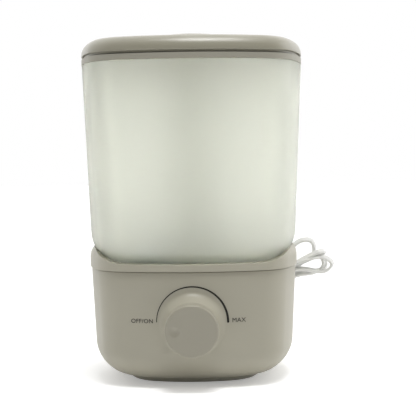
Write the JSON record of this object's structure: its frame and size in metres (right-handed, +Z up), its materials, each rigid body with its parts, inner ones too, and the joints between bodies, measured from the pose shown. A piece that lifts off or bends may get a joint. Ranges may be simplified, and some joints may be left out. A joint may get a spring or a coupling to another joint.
{
  "type": "cool mist humidifier",
  "caption": "Cool mist humidifier with a frosted lift-off tank on a rounded-square base, a tilted front dial, a round lidded mist outlet and a tied flat mains cord.",
  "frame": {"origin": "on the tank's upright axis, at the level of the table, at the foot ring's underside", "axes": "+Z up, the dial faces -Y, +X to the right of someone facing the dial"},
  "size_m": [0.1956, 0.2587, 0.2605],
  "materials": {
    "shell_plastic": "fine satin moulded surface",
    "lid_plastic": "smooth semi-gloss moulding",
    "frosted_tank": "frosted translucent plastic",
    "tube_plastic": "translucent natural plastic",
    "inner_plastic": "plain moulded",
    "black_plastic": "plain moulded",
    "silicone": "soft silicone",
    "foot_rubber": "matt rubber",
    "float_foam": "closed cell foam",
    "ceramic_disc": "metal faced disc",
    "circuit_board": "green solder mask",
    "coil_copper": "enamelled copper wire",
    "heat_sink_aluminium": "extruded",
    "screw_steel": "zinc plated",
    "spring_steel": "drawn wire",
    "motor_steel": "turned",
    "cord_white": "soft vinyl",
    "tie_white": "plastic strap",
    "blade_brass": "stamped"
  },
  "bodies": {
    "base": {"foot_ring": "foot_rubber", "bottom_cover": "shell_plastic", "cover_screws": "screw_steel", "base_shell": "shell_plastic", "fan_housing": "black_plastic", "fan_stator": "motor_steel", "fan_screws": "screw_steel", "air_duct": "inner_plastic", "base_tray": "shell_plastic", "transducer_seal": "silicone", "transducer_disc": "ceramic_disc", "transducer_retainer": "inner_plastic", "retainer_screws": "screw_steel", "float_cap": "inner_plastic", "level_sensor": "black_plastic", "driver_board": "circuit_board", "board_coils": "coil_copper", "heat_sink": "heat_sink_aluminium", "board_screws": "screw_steel", "dial_potentiometer": "black_plastic", "dial_nut": "screw_steel", "strain_relief": "cord_white", "power_cord": "cord_white", "cord_hank": "cord_white", "cord_tie": "tie_white", "cord_tail": "cord_white", "power_plug": "cord_white", "plug_blades": "blade_brass"},
    "dial": {"dial_knob": "shell_plastic", "dial_shaft": "motor_steel"},
    "fan": {"fan_rotor": "black_plastic"},
    "float": {"water_float": "float_foam"},
    "tank": {"tank_shell": "frosted_tank", "mist_tube": "tube_plastic", "valve_housing": "inner_plastic", "valve_spring": "spring_steel", "tank_collar": "lid_plastic"},
    "valve": {"valve_stem": "inner_plastic", "valve_seal": "silicone"},
    "lid": {"lid_cover": "lid_plastic", "lid_inner_plate": "lid_plastic", "lid_seal": "silicone", "lid_screws": "screw_steel"},
    "nozzle": {"mist_nozzle": "lid_plastic", "nozzle_baffle": "inner_plastic"}
  },
  "joints": [
    {"name": "dial_turn", "type": "hinge", "parent": "base", "child": "dial", "pos_m": [0, -0.07662, 0.047], "axis": [0, 0.9925, 0.1219], "range_deg": [0, 185]},
    {"name": "fan_spin", "type": "hinge", "parent": "base", "child": "fan", "pos_m": [0, 0.01, 0.02], "axis": [0, 0, 1], "continuous": true},
    {"name": "float_rise", "type": "slide", "parent": "base", "child": "float", "axis": [0, 0, 1], "range_m": [0, 0.004]},
    {"name": "tank_lift", "type": "slide", "parent": "base", "child": "tank", "axis": [0, 0, 1], "range_m": [0, 0.12]},
    {"name": "valve_push", "type": "slide", "parent": "tank", "child": "valve", "axis": [0, 0, 1], "range_m": [0, 0.003], "stiffness_N_per_m": 120, "springref_m": -0.004, "deforming": ["valve_spring"]},
    {"name": "lid_lift", "type": "slide", "parent": "tank", "child": "lid", "axis": [0, 0, 1], "range_m": [0, 0.08]},
    {"name": "nozzle_turn", "type": "hinge", "parent": "lid", "child": "nozzle", "pos_m": [0, 0, 0.255], "axis": [0, 0, 1], "continuous": true}
  ]
}
